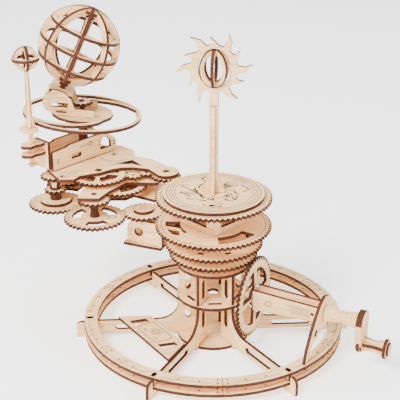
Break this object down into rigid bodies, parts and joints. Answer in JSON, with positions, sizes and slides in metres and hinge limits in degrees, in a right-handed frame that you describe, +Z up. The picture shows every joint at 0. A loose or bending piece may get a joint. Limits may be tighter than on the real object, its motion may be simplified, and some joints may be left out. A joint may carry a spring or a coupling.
{
  "type": "mechanical orrery",
  "caption": "Hand-cranked plywood orrery: a geared arm carries a slanted openwork Earth globe and a Moon round a flaming Sun, on a column with a legged ring base.",
  "frame": {"origin": "on the ground, at the centre of the column's lowest plate and on the Sun's upright axis", "axes": "+Z up along the Sun's axis; the viewer stands at -Y with the crank to the right front and the Earth to the left back"},
  "size_m": [0.3447, 0.2701, 0.2994],
  "materials": {
    "base_rib_1_ply": "laser-cut birch plywood with browned edges",
    "base_rib_2_ply": "laser-cut birch plywood with browned edges",
    "base_rib_3_ply": "laser-cut birch plywood with browned edges",
    "base_rib_4_ply": "laser-cut birch plywood with browned edges",
    "base_rib_5_ply": "laser-cut birch plywood with browned edges",
    "base_rib_6_ply": "laser-cut birch plywood with browned edges",
    "base_ring_lower_ply": "laser-cut birch plywood with browned edges",
    "base_ring_upper_ply": "laser-cut birch plywood with browned edges",
    "column_plate_bottom_ply": "laser-cut birch plywood with browned edges",
    "column_plate_middle_ply": "laser-cut birch plywood with browned edges",
    "column_collar_ply": "laser-cut birch plywood with browned edges",
    "nameplate_ply": "laser-cut birch plywood with browned edges",
    "centre_shaft_ply": "laser-cut birch plywood with browned edges",
    "lower_fixed_gear_ply": "laser-cut birch plywood with browned edges",
    "dial_hub_ply": "laser-cut birch plywood with browned edges",
    "dial_gear_ply": "laser-cut birch plywood with browned edges",
    "dial_face_ply": "laser-cut birch plywood with browned edges",
    "sun_pole_ply": "laser-cut birch plywood with browned edges",
    "sun_flames_ply": "laser-cut birch plywood with browned edges",
    "sun_ball_ply": "laser-cut birch plywood with browned edges",
    "crank_bracket_ply": "laser-cut birch plywood with browned edges",
    "crank_housing_front_ply": "laser-cut birch plywood with browned edges",
    "crank_housing_back_ply": "laser-cut birch plywood with browned edges",
    "drive_gear_ply": "laser-cut birch plywood with browned edges",
    "gear_spacer_ply": "laser-cut birch plywood with browned edges",
    "arm_gear_ply": "laser-cut birch plywood with browned edges",
    "arm_link_ply": "laser-cut birch plywood with browned edges",
    "carriage_upright_1_ply": "laser-cut birch plywood with browned edges",
    "carriage_upright_2_ply": "laser-cut birch plywood with browned edges",
    "carriage_plate_ply": "laser-cut birch plywood with browned edges",
    "chassis_top_plate_ply": "laser-cut birch plywood with browned edges",
    "chassis_middle_plate_ply": "laser-cut birch plywood with browned edges",
    "chassis_lower_plate_ply": "laser-cut birch plywood with browned edges",
    "chassis_post_ply": "laser-cut birch plywood with browned edges",
    "crank_gear_ply": "laser-cut birch plywood with browned edges",
    "crank_shaft_ply": "laser-cut birch plywood with browned edges",
    "crank_arm_ply": "laser-cut birch plywood with browned edges",
    "crank_knob_ply": "laser-cut birch plywood with browned edges",
    "dial_pinion_ply": "laser-cut birch plywood with browned edges",
    "idler_first_ply": "laser-cut birch plywood with browned edges",
    "idler_second_ply": "laser-cut birch plywood with browned edges",
    "moon_train_wheel_ply": "laser-cut birch plywood with browned edges",
    "first_wheel_ply": "laser-cut birch plywood with browned edges",
    "second_wheel_ply": "laser-cut birch plywood with browned edges",
    "support_train_wheel_ply": "laser-cut birch plywood with browned edges",
    "outer_wheel_ply": "laser-cut birch plywood with browned edges",
    "day_idler_ply": "laser-cut birch plywood with browned edges",
    "day_shaft_ply": "laser-cut birch plywood with browned edges",
    "moon_arm_tube_ply": "laser-cut birch plywood with browned edges",
    "moon_arm_front_ply": "laser-cut birch plywood with browned edges",
    "moon_arm_back_ply": "laser-cut birch plywood with browned edges",
    "moon_bracket_ply": "laser-cut birch plywood with browned edges",
    "moon_rod_ply": "laser-cut birch plywood with browned edges",
    "moon_stick_ply": "laser-cut birch plywood with browned edges",
    "moon_ball_ply": "laser-cut birch plywood with browned edges",
    "earth_support_tube_ply": "laser-cut birch plywood with browned edges",
    "moon_guide_ring_ply": "laser-cut birch plywood with browned edges",
    "earth_housing_ply": "laser-cut birch plywood with browned edges",
    "globe_ply": "laser-cut birch plywood with browned edges"
  },
  "bodies": {
    "base": {"base_rib_1": "base_rib_1_ply", "base_rib_2": "base_rib_2_ply", "base_rib_3": "base_rib_3_ply", "base_rib_4": "base_rib_4_ply", "base_rib_5": "base_rib_5_ply", "base_rib_6": "base_rib_6_ply", "base_ring_lower": "base_ring_lower_ply", "base_ring_upper": "base_ring_upper_ply", "column_plate_bottom": "column_plate_bottom_ply", "column_plate_middle": "column_plate_middle_ply", "column_collar": "column_collar_ply", "nameplate": "nameplate_ply", "centre_shaft": "centre_shaft_ply", "lower_fixed_gear": "lower_fixed_gear_ply", "dial_hub": "dial_hub_ply", "dial_gear": "dial_gear_ply", "dial_face": "dial_face_ply", "sun_pole": "sun_pole_ply", "sun_flames": "sun_flames_ply", "sun_ball": "sun_ball_ply", "crank_bracket": "crank_bracket_ply", "crank_housing_front": "crank_housing_front_ply", "crank_housing_back": "crank_housing_back_ply"},
    "arm": {"drive_gear": "drive_gear_ply", "gear_spacer": "gear_spacer_ply", "arm_gear": "arm_gear_ply", "arm_link": "arm_link_ply", "carriage_upright_1": "carriage_upright_1_ply", "carriage_upright_2": "carriage_upright_2_ply", "carriage_plate": "carriage_plate_ply", "chassis_top_plate": "chassis_top_plate_ply", "chassis_middle_plate": "chassis_middle_plate_ply", "chassis_lower_plate": "chassis_lower_plate_ply", "chassis_post": "chassis_post_ply"},
    "crank": {"crank_gear": "crank_gear_ply", "crank_shaft": "crank_shaft_ply", "crank_arm": "crank_arm_ply"},
    "knob": {"crank_knob": "crank_knob_ply"},
    "dial_pinion": {"dial_pinion": "dial_pinion_ply"},
    "idler_first": {"idler_first": "idler_first_ply"},
    "idler_second": {"idler_second": "idler_second_ply"},
    "moon_train_wheel": {"moon_train_wheel": "moon_train_wheel_ply"},
    "first_wheel": {"first_wheel": "first_wheel_ply"},
    "second_wheel": {"second_wheel": "second_wheel_ply"},
    "support_train_wheel": {"support_train_wheel": "support_train_wheel_ply"},
    "outer_wheel": {"outer_wheel": "outer_wheel_ply"},
    "day_idler": {"day_idler": "day_idler_ply"},
    "day_shaft": {"day_shaft": "day_shaft_ply"},
    "moon_arm": {"moon_arm_tube": "moon_arm_tube_ply", "moon_arm_front": "moon_arm_front_ply", "moon_arm_back": "moon_arm_back_ply", "moon_bracket": "moon_bracket_ply"},
    "moon": {"moon_rod": "moon_rod_ply", "moon_stick": "moon_stick_ply", "moon_ball": "moon_ball_ply"},
    "earth_support": {"earth_support_tube": "earth_support_tube_ply", "moon_guide_ring": "moon_guide_ring_ply", "earth_housing": "earth_housing_ply"},
    "globe": {"globe": "globe_ply"}
  },
  "joints": [
    {"name": "arm_orbit", "type": "hinge", "parent": "base", "child": "arm", "pos_m": [0, 0, 0.0925], "axis": [0, 0, 1], "continuous": true},
    {"name": "crank_spin", "type": "hinge", "parent": "base", "child": "crank", "pos_m": [0.09844, -0.04908, 0.04994], "axis": [0.8949, -0.4462, 0], "continuous": true},
    {"name": "knob_spin", "type": "hinge", "parent": "crank", "child": "knob", "pos_m": [0.13021, -0.06492, 0.02794], "axis": [0.8949, -0.4462, 0], "continuous": true},
    {"name": "dial_pinion_spin", "type": "hinge", "parent": "arm", "child": "dial_pinion", "pos_m": [-0.04494, 0.04837, 0.143], "axis": [0, 0, 1], "continuous": true},
    {"name": "idler_first_spin", "type": "hinge", "parent": "arm", "child": "idler_first", "pos_m": [-0.06402, 0.05531, 0.143], "axis": [0, 0, 1], "continuous": true},
    {"name": "idler_second_spin", "type": "hinge", "parent": "arm", "child": "idler_second", "pos_m": [-0.07641, 0.04858, 0.143], "axis": [0, 0, 1], "continuous": true},
    {"name": "moon_train_wheel_spin", "type": "hinge", "parent": "arm", "child": "moon_train_wheel", "pos_m": [-0.10978, 0.05118, 0.143], "axis": [0, 0, 1], "continuous": true},
    {"name": "first_wheel_spin", "type": "hinge", "parent": "arm", "child": "first_wheel", "pos_m": [-0.06615, 0.027, 0.115], "axis": [0, 0, 1], "continuous": true},
    {"name": "second_wheel_spin", "type": "hinge", "parent": "arm", "child": "second_wheel", "pos_m": [-0.11142, 0.01571, 0.125], "axis": [0, 0, 1], "continuous": true},
    {"name": "support_train_wheel_spin", "type": "hinge", "parent": "arm", "child": "support_train_wheel", "pos_m": [-0.09117, 0.05073, 0.132], "axis": [0, 0, 1], "continuous": true},
    {"name": "outer_wheel_spin", "type": "hinge", "parent": "arm", "child": "outer_wheel", "pos_m": [-0.1519, 0.04968, 0.13], "axis": [0, 0, 1], "continuous": true},
    {"name": "day_idler_spin", "type": "hinge", "parent": "arm", "child": "day_idler", "pos_m": [-0.14433, 0.07345, 0.128], "axis": [0, 0, 1], "continuous": true},
    {"name": "day_shaft_spin", "type": "hinge", "parent": "arm", "child": "day_shaft", "pos_m": [-0.1272, 0.0894, 0.16], "axis": [0, 0, 1], "continuous": true},
    {"name": "moon_arm_turn", "type": "hinge", "parent": "arm", "child": "moon_arm", "pos_m": [-0.1272, 0.0894, 0.15], "axis": [0, 0, 1], "continuous": true},
    {"name": "earth_support_turn", "type": "hinge", "parent": "arm", "child": "earth_support", "pos_m": [-0.1272, 0.0894, 0.16], "axis": [0, 0, 1], "continuous": true},
    {"name": "globe_spin", "type": "hinge", "parent": "earth_support", "child": "globe", "pos_m": [-0.1272, 0.0894, 0.2605], "axis": [0.3971, 0, 0.9178], "continuous": true},
    {"name": "moon_rod_lift", "type": "slide", "parent": "moon_arm", "child": "moon", "axis": [0, 0, 1], "range_m": [-0.005, 0.005]}
  ],
  "couplings": [
    {"joint": "dial_pinion_spin", "follows": "arm_orbit", "ratio": 4},
    {"joint": "idler_first_spin", "follows": "arm_orbit", "ratio": -7.5556},
    {"joint": "idler_second_spin", "follows": "arm_orbit", "ratio": 7.5556},
    {"joint": "moon_train_wheel_spin", "follows": "arm_orbit", "ratio": -2},
    {"joint": "first_wheel_spin", "follows": "arm_orbit", "ratio": 2.8333},
    {"joint": "second_wheel_spin", "follows": "arm_orbit", "ratio": -1.8889},
    {"joint": "support_train_wheel_spin", "follows": "arm_orbit", "ratio": 1},
    {"joint": "outer_wheel_spin", "follows": "arm_orbit", "ratio": 2.125},
    {"joint": "day_idler_spin", "follows": "arm_orbit", "ratio": -1.275},
    {"joint": "day_shaft_spin", "follows": "arm_orbit", "ratio": 2.55},
    {"joint": "moon_arm_turn", "follows": "arm_orbit", "ratio": 3.4},
    {"joint": "earth_support_turn", "follows": "arm_orbit", "ratio": -1},
    {"joint": "globe_spin", "follows": "arm_orbit", "ratio": -3.0429},
    {"joint": "crank_spin", "follows": "arm_orbit", "ratio": -1.0833}
  ]
}
